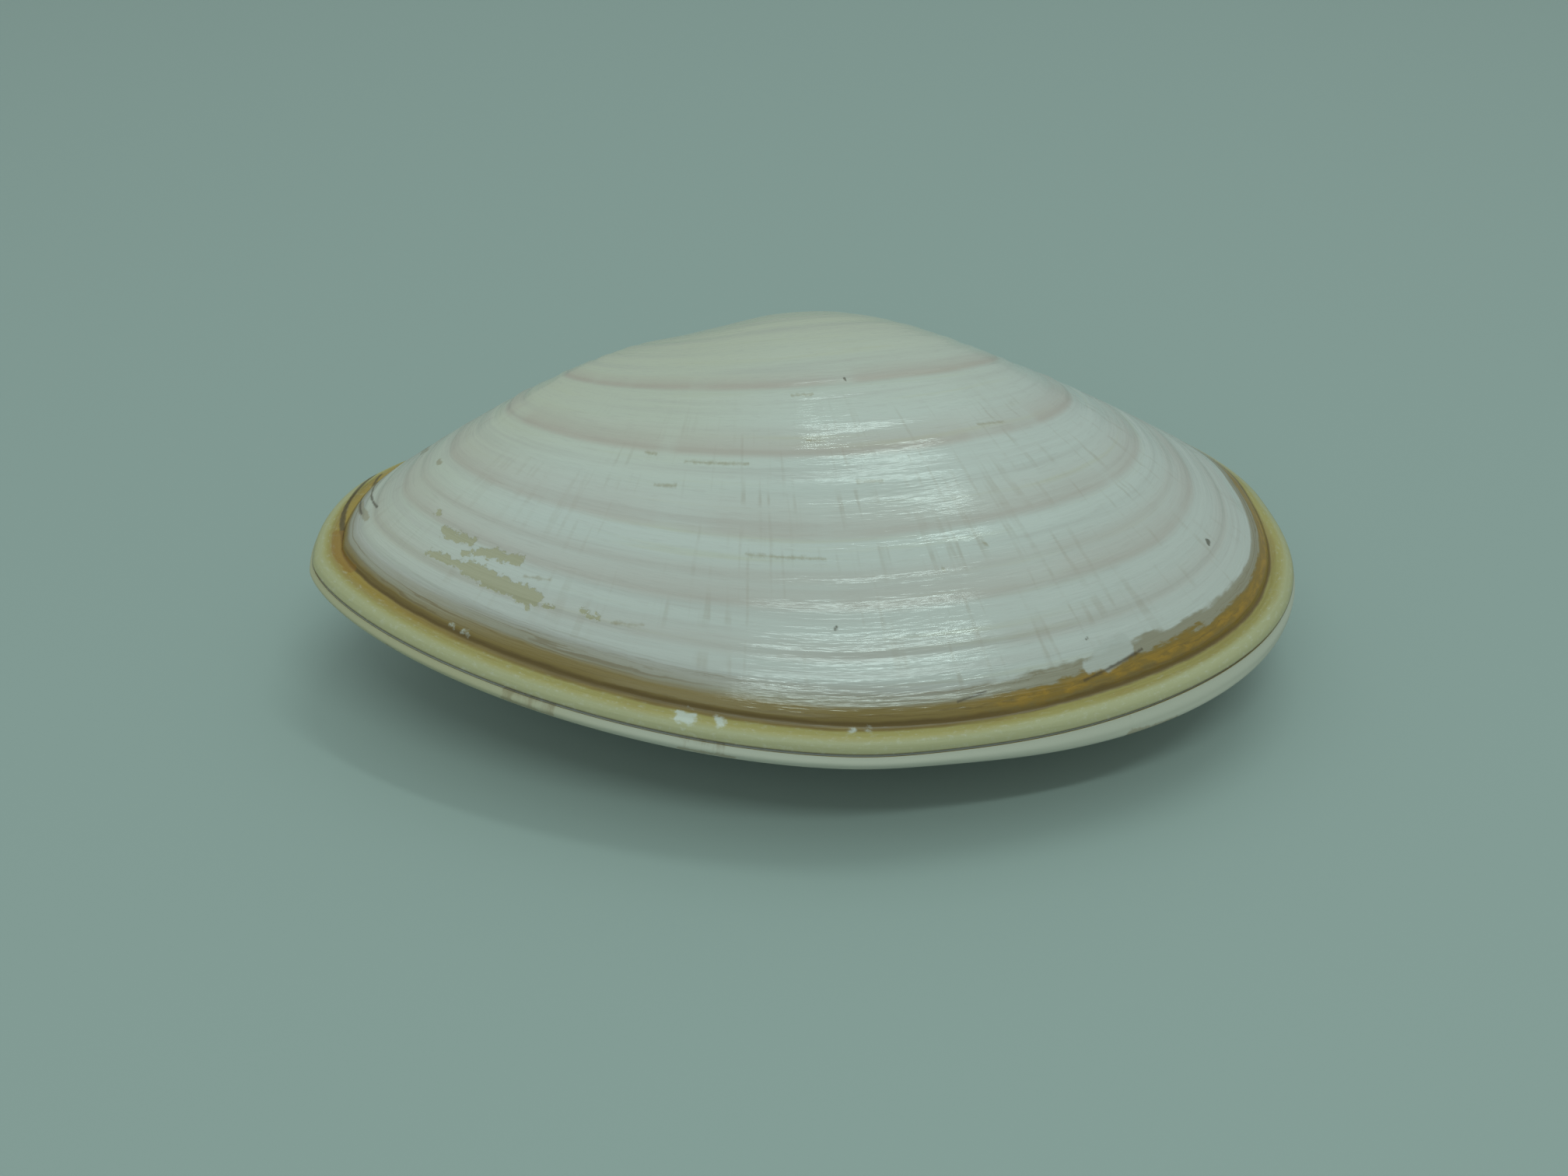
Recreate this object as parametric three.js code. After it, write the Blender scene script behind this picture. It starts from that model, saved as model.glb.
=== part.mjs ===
// A closed tellin shell lying on its lower valve, in millimetres with +Z up.
// +X runs along the shell to its rounded anterior end, and +Y runs to the beak. The origin is on the resting
// surface, under the middle of the shell.
//
// Each valve is built the way a shell grows. The growing edge is one closed outline, the margin. Every
// earlier edge is that outline made smaller about the beak and turned about the hinge line, so the outside
// is a spiral surface and its growth lines are the earlier edges. In the growth frame the beak is the origin,
// X is anterior, Y is dorsal and Z points out of the upper valve.

import * as THREE from 'three';

// Margin, measured from the beak
const POSTERIOR_REACH = 43.4;
const ANTERIOR_REACH = 41.6;
const DORSAL_HEIGHT = 24.2; // from the line of greatest length up to the hinge line
const VENTRAL_HEIGHT = 27.5; // from that line down to the ventral edge
const BEAK_STAND_OUT = 0.6; // the beak's tip above the hinge line
const POSTERIOR_RISE = 0.034; // slant of the long axis, rise for each unit of length
const CORNER_POWER = { // 2 is an ellipse, less is more pointed, more is squarer
  posteriorDorsal: 2.09,
  posteriorVentral: 1.48,
  anteriorVentral: 2.43,
  anteriorDorsal: 1.87,
};

// Growth
const UPPER_COIL = 0.745; // turn about the hinge, in radians, for each e-fold of size
const LOWER_COIL = 0.64;
const POSTERIOR_SWELL = 0.57; // how much the slopes beside the hinge line bulge out
const ANTERIOR_SWELL = 0.36;
const FLEXURE = 0.61; // upward bend of the posterior tip
const FLEXURE_START = 12.75; // behind the beak
const FLEXURE_RUN = 29.75;

// Growth halts, the lip and the groove inside it, as sizes of the growing edge and heights over the surface
const HALT_SIZES = [0.475, 0.605, 0.78];
const HALT_LEDGE = 0.12;
const HALT_RUN = 0.012;
const DOME_SIZES = [0.06, 0.11, 0.17, 0.24, 0.32, 0.4, 0.54, 0.665, 0.72, 0.83, 0.875, 0.915, 0.942];
const UPPER_LIP = [[0.96, -0.3], [0.969, 0.12], [0.981, 0.4], [0.992, 0.3], [1, 0]];
const LOWER_LIP = [
  [0.952, -0.3], [0.963, 0.2], [0.972, 0.65], [0.982, 0.95], [0.992, 0.95], [1.001, 0.6], [1, 0],
];
const LIP_START = 0.95;
const LIP_WAYS = [0.15, 0.21, 0.69, 0.77]; // shares of the way round where the lip fades in and out
const LOWER_FULLNESS = 0.7; // the lower lip is fuller near the anterior end, by this share of its height
const FULL_WAY = 0.61;
const FULL_RUN = 0.12;
const LIP_NARROWING = 0.27; // the lip grows narrower towards the anterior end, by this share of its width
const FULL_LIP_REACH = 20; // nearer the beak than this, the lip and ledges grow smaller

// Seam between the valves, which runs above the hinge plane along the open edge
const SEAM_LIFT = 0.7;
const SEAM_START = 0.955; // size of the growth line where the edge starts to lift
const ANTERIOR_SEAM_LIFT = 0.5; // more at the anterior end
const ANTERIOR_SEAM_WAY = 0.63;
const ANTERIOR_SEAM_RUN = 0.09;

// Inside of each valve: a smooth, smaller copy of the outside about the middle of the shell
const INNER_SIZES = [1, 0.92, 0.82, 0.7, 0.55, 0.4, 0.25, 0.12];
const INNER_SCALE = new THREE.Vector3(0.95, 0.93, 0.9);
const MIDDLE = new THREE.Vector3(-10, -27, 0);
const VALVE_GAP = 0.3;

// Ligament, a spindle along the hinge line behind the beak
const LIGAMENT_START = 0.022; // shares of the way round the margin
const LIGAMENT_END = 0.09;
const LIGAMENT_HALF_WIDTH = 1.3;
const LIGAMENT_HALF_HEIGHT = 0.95;
const LIGAMENT_CLEARANCE = 0.4;
const LIGAMENT_STATIONS = 12;
const LIGAMENT_SIDES = 10;

// How the closed shell lies
const FRONT_DIP = THREE.MathUtils.degToRad(6);
const POSTERIOR_LIFT = THREE.MathUtils.degToRad(0.3);
const REST_FLAT_DEPTH = 0.3; // worn off the lowest point, which leaves a small flat

const COLUMNS = 56;
const OUTLINE_POINTS = 360;
const SLOPE_STEP = 0.002;

const SHELL_WHITE = { color: 0xd9d8cc, roughness: 0.55, metalness: 0 };
const LIGAMENT_BROWN = { color: 0x3a2413, roughness: 0.5, metalness: 0 };

// One rounded quarter of the margin, chosen by the direction from its middle
function marginPoint(angle) {
  const along = Math.cos(angle);
  const across = Math.sin(angle);
  const posterior = along < 0;
  const dorsal = across > 0;
  const corner = (posterior ? 'posterior' : 'anterior') + (dorsal ? 'Dorsal' : 'Ventral');
  const power = 2 / CORNER_POWER[corner];
  const reach = posterior ? POSTERIOR_REACH : ANTERIOR_REACH;
  const height = dorsal ? DORSAL_HEIGHT : VENTRAL_HEIGHT;
  const x = reach * Math.sign(along) * Math.abs(along) ** power;
  const y = height * Math.sign(across) * Math.abs(across) ** power - DORSAL_HEIGHT - BEAK_STAND_OUT;
  const slantShare = 1 - Math.max(across, 0) ** 2;
  return new THREE.Vector3(x, y - POSTERIOR_RISE * x * slantShare, 0);
}

// The whole margin, from the hinge line under the beak round by the posterior end
function marginCurve() {
  const points = [];
  for (let i = 0; i < OUTLINE_POINTS; i += 1) {
    points.push(marginPoint(Math.PI / 2 + (2 * Math.PI * i) / OUTLINE_POINTS));
  }
  const curve = new THREE.CatmullRomCurve3(points, true);
  curve.arcLengthDivisions = 4 * OUTLINE_POINTS;
  return curve;
}

const margin = marginCurve();

function flexure(x) {
  const share = Math.max(0, (-x - FLEXURE_START) / FLEXURE_RUN);
  return FLEXURE * share ** 2;
}

// 1 along the open edge, where the lip is rolled, and 0 along the hinge
function rolledShare(way) {
  const fadeIn = THREE.MathUtils.smoothstep(way, LIP_WAYS[0], LIP_WAYS[1]);
  return fadeIn * (1 - THREE.MathUtils.smoothstep(way, LIP_WAYS[2], LIP_WAYS[3]));
}

// 1 at a place round the margin, falling smoothly to 0 at run to each side of it
function nearShare(way, place, run) {
  const aside = Math.min(1, Math.abs(way - place) / run);
  return Math.cos((Math.PI / 2) * aside) ** 2;
}

function seamLift(way, size) {
  const anterior = nearShare(way, ANTERIOR_SEAM_WAY, ANTERIOR_SEAM_RUN);
  const lift = SEAM_LIFT * rolledShare(way) + ANTERIOR_SEAM_LIFT * anterior;
  return lift * THREE.MathUtils.smoothstep(size, SEAM_START, 1);
}

// A point of the smooth growth surface: way is the share of the way round the margin
function growthPoint(way, size, valve) {
  const edge = margin.getPointAt((way + 1) % 1);
  const turn = valve.coil * Math.log(1 / size);
  const swell = edge.x < 0 ? POSTERIOR_SWELL : ANTERIOR_SWELL;
  const reach = Math.hypot(edge.y, swell * edge.x);
  const x = size * edge.x;
  const z = valve.side * size * reach * Math.sin(turn) + flexure(x) + seamLift((way + 1) % 1, size);
  return new THREE.Vector3(x, size * edge.y * Math.cos(turn), z);
}

function outwardNormal(way, size, valve) {
  const ahead = growthPoint(way + SLOPE_STEP, size, valve);
  const behind = growthPoint(way - SLOPE_STEP, size, valve);
  const younger = growthPoint(way, size + SLOPE_STEP, valve);
  const older = growthPoint(way, size - SLOPE_STEP, valve);
  const alongWay = ahead.sub(behind);
  const alongSize = younger.sub(older);
  return alongSize.cross(alongWay).normalize().multiplyScalar(valve.side);
}

// Size of a growth line where it passes edge: the lip is wider at the posterior end
function localSize(size, edge) {
  const widening = size < LIP_START ? 1 : 1 - (LIP_NARROWING * edge.x) / ANTERIOR_REACH;
  return 1 - (1 - size) * widening;
}

// One growth line of the outside, raised over the smooth surface by height
function outerRing(size, height, valve) {
  const ring = [];
  for (let i = 0; i < COLUMNS; i += 1) {
    const way = i / COLUMNS;
    const edge = margin.getPointAt(way);
    const full = 1 + valve.fullness * nearShare(way, FULL_WAY, FULL_RUN);
    const rolled = size < LIP_START ? 1 : full * rolledShare(way);
    const fade = rolled * Math.min(1, edge.length() / FULL_LIP_REACH);
    const sizeHere = localSize(size, edge);
    const point = growthPoint(way, sizeHere, valve);
    point.addScaledVector(outwardNormal(way, sizeHere, valve), height * fade);
    ring.push(point.setZ(point.z + (valve.side * VALVE_GAP) / 2));
  }
  return ring;
}

function shrinkInwards(point) {
  return point.sub(MIDDLE).multiply(INNER_SCALE).add(MIDDLE);
}

function innerRing(size, valve) {
  const ring = [];
  for (let i = 0; i < COLUMNS; i += 1) {
    const point = shrinkInwards(growthPoint(i / COLUMNS, size, valve));
    ring.push(point.setZ(point.z + (valve.side * VALVE_GAP) / 2));
  }
  return ring;
}

// A closed skin through rings of equal length, with one point closing each end
function closedSkin(firstPoint, rings, lastPoint, flipped) {
  const points = [firstPoint, ...rings.flat(), lastPoint];
  const sides = rings[0].length;
  const index = [];
  const addFace = (a, b, c) => index.push(...(flipped ? [a, c, b] : [a, b, c]));
  const at = (ring, side) => 1 + ring * sides + (side % sides);
  for (let side = 0; side < sides; side += 1) {
    addFace(0, at(0, side), at(0, side + 1));
    addFace(points.length - 1, at(rings.length - 1, side + 1), at(rings.length - 1, side));
    for (let ring = 0; ring + 1 < rings.length; ring += 1) {
      addFace(at(ring, side), at(ring + 1, side), at(ring + 1, side + 1));
      addFace(at(ring, side), at(ring + 1, side + 1), at(ring, side + 1));
    }
  }
  const geometry = new THREE.BufferGeometry().setFromPoints(points);
  geometry.setIndex(index);
  return geometry;
}

// Sizes and heights of the outside's rings, from the beak to the commissure
function outsideProfile(lip) {
  const dome = DOME_SIZES.map((size) => [size, 0]);
  const ledges = HALT_SIZES.flatMap((size) => [[size - HALT_RUN, HALT_LEDGE], [size, 0]]);
  return [...dome, ...ledges].sort((a, b) => a[0] - b[0]).concat(lip);
}

function valveGeometry(valve) {
  const beak = new THREE.Vector3(0, 0, (valve.side * VALVE_GAP) / 2);
  const outside = outsideProfile(valve.lip).map(([size, height]) => outerRing(size, height, valve));
  const inside = INNER_SIZES.map((size) => innerRing(size, valve));
  const innerBeak = shrinkInwards(beak.clone());
  return closedSkin(beak, [...outside, ...inside], innerBeak, valve.side < 0);
}

function ligamentRing(share) {
  const way = THREE.MathUtils.lerp(LIGAMENT_START, LIGAMENT_END, share);
  const edge = margin.getPointAt(way);
  const forward = margin.getTangentAt(way);
  const outward = new THREE.Vector3(forward.y, -forward.x, 0);
  const taper = Math.sqrt(Math.sin(Math.PI * share));
  const centre = edge.clone().addScaledVector(outward, LIGAMENT_CLEARANCE + LIGAMENT_HALF_HEIGHT);
  centre.z = flexure(edge.x);
  const ring = [];
  for (let i = 0; i < LIGAMENT_SIDES; i += 1) {
    const angle = (2 * Math.PI * i) / LIGAMENT_SIDES;
    const point = centre.clone().addScaledVector(outward, taper * LIGAMENT_HALF_HEIGHT * Math.cos(angle));
    ring.push(point.setZ(point.z + taper * LIGAMENT_HALF_WIDTH * Math.sin(angle)));
  }
  return { centre, ring };
}

function ligamentGeometry() {
  const rings = [];
  for (let i = 1; i < LIGAMENT_STATIONS; i += 1) {
    rings.push(ligamentRing(i / LIGAMENT_STATIONS).ring);
  }
  return closedSkin(ligamentRing(0).centre, rings, ligamentRing(1).centre, false);
}

// Turns the pieces into the pose in which the shell lies, and centres them over the origin
function layDown(geometries, restingGeometry) {
  const turn = new THREE.Matrix4().makeRotationX(FRONT_DIP);
  turn.multiply(new THREE.Matrix4().makeRotationY(POSTERIOR_LIFT));
  const box = new THREE.Box3();
  for (const geometry of geometries) {
    geometry.applyMatrix4(turn);
    geometry.computeBoundingBox();
    box.union(geometry.boundingBox);
  }
  const centre = box.getCenter(new THREE.Vector3());
  for (const geometry of geometries) {
    geometry.translate(-centre.x, -centre.y, -box.min.z - REST_FLAT_DEPTH);
  }
  const position = restingGeometry.getAttribute('position');
  for (let i = 0; i < position.count; i += 1) {
    position.setZ(i, Math.max(position.getZ(i), 0));
  }
}

function namedMesh(name, geometry, finish) {
  geometry.computeVertexNormals();
  const mesh = new THREE.Mesh(geometry, new THREE.MeshStandardMaterial(finish));
  mesh.name = name;
  return mesh;
}

const upperValve = valveGeometry({ side: 1, coil: UPPER_COIL, lip: UPPER_LIP, fullness: 0 });
const lowerValve = valveGeometry({ side: -1, coil: LOWER_COIL, lip: LOWER_LIP, fullness: LOWER_FULLNESS });
const ligament = ligamentGeometry();
layDown([upperValve, lowerValve, ligament], lowerValve);

const shell = new THREE.Group();
shell.add(namedMesh('upper_valve', upperValve, SHELL_WHITE));
shell.add(namedMesh('lower_valve', lowerValve, SHELL_WHITE));
shell.add(namedMesh('ligament', ligament, LIGAMENT_BROWN));

export default shell;
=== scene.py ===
"""Looks of a closed tellin shell that lies on its lower valve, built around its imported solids.

Every piece is in metres in the solids' frame: +X to the rounded anterior end, +Y to the beak, +Z up.
Each valve follows the way a shell grows. The margin is the newest growing edge. Every older edge is the
margin made smaller about the beak and turned about the hinge line, so size, from 0 at the beak to 1 at the
margin, names a growth line, and way, from 0 to 1 round the margin, names a ray from the beak.
"""

import math

import bpy
import numpy as np
from mathutils import Matrix, Vector


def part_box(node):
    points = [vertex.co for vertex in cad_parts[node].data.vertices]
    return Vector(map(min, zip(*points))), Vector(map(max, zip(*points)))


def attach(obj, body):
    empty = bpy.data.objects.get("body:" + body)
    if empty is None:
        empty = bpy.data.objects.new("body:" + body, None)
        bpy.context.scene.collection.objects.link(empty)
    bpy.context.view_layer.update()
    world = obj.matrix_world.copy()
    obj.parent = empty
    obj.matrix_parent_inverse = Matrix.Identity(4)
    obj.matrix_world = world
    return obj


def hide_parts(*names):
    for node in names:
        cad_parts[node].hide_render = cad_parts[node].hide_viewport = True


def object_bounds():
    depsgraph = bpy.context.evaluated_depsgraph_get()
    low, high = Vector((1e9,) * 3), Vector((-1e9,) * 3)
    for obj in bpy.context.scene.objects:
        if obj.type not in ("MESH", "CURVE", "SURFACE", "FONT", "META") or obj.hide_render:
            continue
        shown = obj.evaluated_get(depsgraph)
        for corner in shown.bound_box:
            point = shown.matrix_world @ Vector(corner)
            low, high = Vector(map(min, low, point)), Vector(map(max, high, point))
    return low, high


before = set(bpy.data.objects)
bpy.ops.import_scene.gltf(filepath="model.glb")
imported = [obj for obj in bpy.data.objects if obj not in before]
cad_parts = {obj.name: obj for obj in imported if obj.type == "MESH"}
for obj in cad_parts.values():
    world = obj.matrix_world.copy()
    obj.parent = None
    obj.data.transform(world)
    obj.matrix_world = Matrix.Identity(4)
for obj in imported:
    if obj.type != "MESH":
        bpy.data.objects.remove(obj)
cad_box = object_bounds()

MM = 0.001

# Margin, in millimetres from the beak
POSTERIOR_REACH = 43.4
ANTERIOR_REACH = 41.6
DORSAL_HEIGHT = 24.2
VENTRAL_HEIGHT = 27.5
BEAK_STAND_OUT = 0.6
POSTERIOR_RISE = 0.034
POSTERIOR_DORSAL_POWER = 2.09
POSTERIOR_VENTRAL_POWER = 1.48
ANTERIOR_VENTRAL_POWER = 2.43
ANTERIOR_DORSAL_POWER = 1.87
MARGIN_STEPS = 7200
EASED_REACH = 9.0  # half length of the ventral middle that is evened out
EASED_SPAN = 22.5  # half length of the part beyond which nothing is evened out
EASED_SPREAD = 4.0
EASED_STRIDE = 8

# Growth
UPPER_COIL = 0.745
LOWER_COIL = 0.64
POSTERIOR_SWELL = 0.57
ANTERIOR_SWELL = 0.36
SWELL_RUN = 8.0
FLEXURE = 0.61
FLEXURE_START = 12.75
FLEXURE_RUN = 29.75
VALVE_GAP = 0.3

# Seam between the valves, which runs above the hinge plane along the open edge
SEAM_LIFT = 0.7
SEAM_SIZES = (0.955, 1.0)
ANTERIOR_SEAM_LIFT = 0.5
ANTERIOR_SEAM_WAY = 0.63
ANTERIOR_SEAM_RUN = 0.09

# Relief over the growth surface: (size, height in millimetres)
UPPER_LIP = [(0.93, 0.0), (0.95, -0.04), (0.96, -0.3), (0.969, 0.12), (0.981, 0.4), (0.992, 0.3),
             (1.0, 0.0)]
LOWER_LIP = [(0.92, 0.0), (0.942, -0.04), (0.952, -0.3), (0.963, 0.2), (0.972, 0.65), (0.982, 0.95),
             (0.992, 0.95), (1.001, 0.6), (1.0, 0.0)]
LIP_RINGS = 48
LIP_NARROWING = 0.27
LIP_BLEND = (0.88, 0.95)
FULL_LIP_REACH = 20.0
LOWER_FULLNESS = 0.7  # the lower lip is fuller near the anterior end, by this share of its height
FULL_WAY = 0.61
FULL_RUN = 0.12
HALTS = [(0.465, 0.04), (0.592, 0.05), (0.775, 0.05), (0.874, 0.025)]
HALT_RAMP = 0.05
HALT_DROP = 0.006
RIPPLES = [(19.0, 0.4, 0.03), (31.0, 2.1, 0.025), (47.0, 4.0, 0.015)]  # waves per size, start, height
RIPPLE_SIZES = (0.15, 0.4)  # sizes over which the ripples fade in
ANTERIOR_SPREAD = 0.3  # share by which the upper rim is wider towards the anterior end
SPREAD_WAYS = (0.52, 0.62, 0.74, 0.82)
LIP_WAYS = (0.15, 0.21, 0.69, 0.77)  # shares of the way round where the lip fades in and out

# Inside of each valve, a smaller copy of the outside
INNER_SIZES = [1.0, 0.92, 0.82, 0.7, 0.55, 0.4, 0.25, 0.12]
INNER_SCALE = np.array([0.95, 0.93, 0.9])
MIDDLE = np.array([-10.0, -27.0, 0.0])

# How the shell lies
FRONT_DIP = math.radians(6.0)
POSTERIOR_LIFT = math.radians(0.3)

# Mesh of each valve
COLUMNS = 560
DOME_RINGS = 104
FIRST_SIZE = 0.02

# Ligament
LIGAMENT_WAYS = (0.022, 0.09)
LIGAMENT_HALF_WIDTH = 1.3
LIGAMENT_HALF_HEIGHT = 0.95
LIGAMENT_CLEARANCE = 0.4
LIGAMENT_SINK = 0.8  # share of the clearance that the inner side fills
LIGAMENT_FIBRES = [(0.025, 13, 9), (0.02, 29, -5)]  # height, waves round, drift along
LIGAMENT_STATIONS = 72
LIGAMENT_SIDES = 40

# View
CAMERA_PLACE = (-0.0266, -0.1122, 0.0894)
CAMERA_PITCH = math.radians(35.9)
CAMERA_YAW = math.radians(-12.25)
CAMERA_ROLL = math.radians(0.7)
CAMERA_LENS = 36.25
SENSOR_WIDTH = 36.0
NEAR_CLIP = 0.005

# Floor and lights, in metres and watts
FLOOR_HALF = 4.0
FLOOR_DROP = 0.00005
FLOOR_ROUGHNESS = 0.6
LIGHT_TINT = (0.79, 1.0, 0.955)
WORLD_STRENGTH = 0.33
LIGHTS = [  # name, place, width, depth, power
    ("overhead", (0.0, 0.05, 0.7), 1.0, 1.0, 1.2),
    ("front_fill", (-0.3, -0.5, 0.45), 0.4, 0.4, 0.35),
    ("high_strip", (0.13, 0.15, 0.58), 0.3, 0.03, 0.35),
    ("front_strip", (0.02, -0.26, 0.56), 0.4, 0.03, 0.6),
]

# Colours
WHITE = (0.62, 0.615, 0.58, 1.0)
CREAM = (0.59, 0.56, 0.44, 1.0)
LILAC_GREY = (0.49, 0.445, 0.415, 1.0)
GREY_BAND = (0.41, 0.365, 0.30, 1.0)
HALT_ROSE = (0.50, 0.38, 0.33, 1.0)
STREAK_TAN = (0.44, 0.385, 0.32, 1.0)
FLAKED_BEIGE = (0.44, 0.385, 0.25, 1.0)
TAUPE = (0.34, 0.29, 0.215, 1.0)
AMBER_BROWN = (0.42, 0.27, 0.055, 1.0)
GOLDEN_BROWN = (0.27, 0.18, 0.06, 1.0)
GROOVE_BROWN = (0.18, 0.11, 0.035, 1.0)
OCHRE = (0.285, 0.168, 0.035, 1.0)
BRIGHT_OCHRE = (0.41, 0.222, 0.032, 1.0)
RIM_YELLOW = (0.43, 0.35, 0.125, 1.0)
RIM_OCHRE = (0.39, 0.27, 0.085, 1.0)
RIM_PALE = (0.46, 0.42, 0.235, 1.0)
STRIP_WHITE = (0.60, 0.57, 0.47, 1.0)
STRIP_CREAM = (0.56, 0.50, 0.32, 1.0)
SEAM_BROWN = (0.16, 0.11, 0.06, 1.0)
LIGAMENT_DARK = (0.010, 0.006, 0.004, 1.0)
LIGAMENT_BROWN = (0.055, 0.030, 0.014, 1.0)
FLOOR_GREY = (0.37, 0.435, 0.41, 1.0)

# Bands of colour by lip place, from 0 at the commissure past 1 at the groove to LIP_SPAN on the dome
LIP_SPAN = 3.0
POSTERIOR_BANDS = [
    (0.0, SEAM_BROWN), (0.04, RIM_PALE), (0.35, RIM_PALE), (0.55, RIM_YELLOW), (0.72, RIM_OCHRE),
    (0.86, AMBER_BROWN), (0.97, AMBER_BROWN), (1.03, GROOVE_BROWN), (1.08, GROOVE_BROWN),
    (1.14, GOLDEN_BROWN), (1.22, GOLDEN_BROWN), (1.33, TAUPE), (1.48, GREY_BAND), (1.75, LILAC_GREY)]
VENTRAL_BANDS = [
    (0.0, SEAM_BROWN), (0.04, RIM_PALE), (0.3, RIM_PALE), (0.5, RIM_YELLOW), (0.8, RIM_YELLOW),
    (0.9, GOLDEN_BROWN), (1.03, GROOVE_BROWN), (1.1, GROOVE_BROWN), (1.18, GOLDEN_BROWN),
    (1.5, GOLDEN_BROWN), (1.7, TAUPE), (2.1, LILAC_GREY)]
ANTERIOR_BANDS = [
    (0.0, SEAM_BROWN), (0.04, RIM_PALE), (0.4, RIM_PALE), (0.65, RIM_YELLOW), (0.92, RIM_YELLOW),
    (1.0, GROOVE_BROWN), (1.05, GROOVE_BROWN), (1.14, GOLDEN_BROWN), (1.28, OCHRE), (1.56, OCHRE),
    (1.62, GOLDEN_BROWN), (1.66, TAUPE), (1.98, TAUPE), (2.1, LILAC_GREY)]
BRIGHT_ANTERIOR_BANDS = [
    (0.0, SEAM_BROWN), (0.04, RIM_PALE), (0.4, RIM_PALE), (0.65, RIM_YELLOW), (0.92, RIM_YELLOW),
    (1.0, GROOVE_BROWN), (1.05, GROOVE_BROWN), (1.14, OCHRE), (1.32, BRIGHT_OCHRE), (1.62, OCHRE),
    (1.68, GOLDEN_BROWN), (1.72, TAUPE), (1.98, TAUPE), (2.1, LILAC_GREY)]

# Noises over two values: the scale of each, a plane of its own, detail and, where given, roughness
FINE_LINES = (240.0, 64.0, 0.0, 2.0)  # over growth and way
BROAD_LINES = (90.0, 6.0, 4.0, 2.0)
TONE_LINES = (42.0, 3.0, 9.0, 4.0, 0.6)
THIN_RAYS = (230.0, 5.0, 0.0, 1.0)  # over way and growth
PATCHY_RAYS = (24.0, 26.0, 5.0, 3.0)
HALT_DRIFT = (9.0, 31.0, 0.0, 2.0)  # over way and the halt's place
HALT_BREAKS = (16.0, 31.0, 2.0, 3.0)
EDGE_FRAY = (1.3, 2.2, 3.0, 4.0, 0.65)  # over millimetres along and across the growth lines
BAND_WANDER = (75.0, 2.2, 0.0, 4.0)  # over way and lip
OCHRE_MOTTLE = (150.0, 4.0, 6.0, 4.0)
RIM_STAIN = (26.0, 2.0, 8.0, 3.0)
GROOVE_LINES = (9.0, 15.0, 11.0, 2.0)
CHALKY_GRAIN = (330.0, 7.0, 2.0, 4.0, 0.7)

# Raised lines and sheen
FINE_HEIGHT = 0.5
BROAD_HEIGHT = 0.7
FLAKE_DEPTH = 0.4  # height that a flake lies below the lines
LINE_DEPTH = 0.0001  # metres at a height of 1
LINE_BUMP = 0.6
ROUGH_TONES = (0.1, 1.0)
TONE_ROUGHNESS = 0.27
RIM_ROUGHNESS = 0.3
LEAST_ROUGHNESS = 0.04

# Dome: a pair runs from where a mask is 0 to where it is 1, and four fade it in and out again
WHITE_SIZES = (0.2, 0.62)
CREAM_WAYS = (0.05, 0.15, 0.24, 0.34)
EARLY_CREAM_WAYS = (0.5, 0.36)
EARLY_CREAM_SIZES = (0.72, 0.55)
GREY_TONES = (0.46, 0.74)
CREAM_TONES = (0.45, 0.28)
GREY_SIZES = (0.68, 0.88)
GREY_LINES = (0.54, 0.7)
RAY_WAYS = (0.34, 0.46, 0.68, 0.76)
RAY_SIZES = (0.45, 0.62)
RAY_EDGE = (0.54, 0.7)
RAY_PATCHES = (0.36, 0.66)
FEWEST_RAYS = 0.5  # strength of the rays away from the anterior half
HALT_SHIFT = 0.012  # how far a halted edge strays, in size
HALT_EDGE = (-0.012, 0.004)
HALT_LINE = (0.011, 0.0)
HALT_BAND_STRENGTH = 0.75
HALT_LINE_STRENGTH = 0.15
UNBROKEN_HALT = (0.2, 0.52)

# Margin: the same kinds of steps, over way and lip
VENTRAL_WAYS = (0.26, 0.36)
WHITE_STRIP_WAYS = (0.33, 0.42)
ANTERIOR_WAYS = (0.51, 0.56, 0.78, 0.82)
CRUMBLED_WAYS = (0.7, 0.62)
COVER_WAYS = (0.11, 0.18, 0.76, 0.81)
INWARD_LIP = (1.0, 1.5)
WANDER_LIP = (0.1, 0.7)
LEAST_WANDER = 0.14
CRUMBLED_WANDER = 0.45
TONE_WANDER = 0.7
MOTTLE_STEP = (0.4, 0.62)
STAIN_STEP = (0.5, 0.72)
STAIN_LIP = (0.2, 0.8, 0.95, 1.05)
GROOVE_LINE_STEP = (0.5, 0.7)
GROOVE_LINE_LIP = (0.85, 1.0)
GRAIN_STEP = (0.5, 0.8)
GRAIN_LIP = (0.95, 0.8)
STRIP_LIP = (0.75, 0.3)
RIM_LIP = (1.1, 0.95)
BAND_END = 1.85  # lip place where the bands end at the posterior end
VENTRAL_END_SHIFT = 0.3
ANTERIOR_END_SHIFT = -0.16
BAND_SOFTNESS = 0.3
ANTERIOR_SHARPNESS = 0.22
HINGE_COVER = 0.25  # strength of the bands along the hinge

# Ligament's fibres
FIBRE_SCALES = (160.0, 2600.0, 2600.0)
FIBRE_DETAIL = 4.0
FIBRE_STEP = (0.35, 0.7)
FIBRE_ROUGHNESS = 0.3
LIGAMENT_ROUGHNESS = 0.5
FIBRE_BUMP = 0.5

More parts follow.
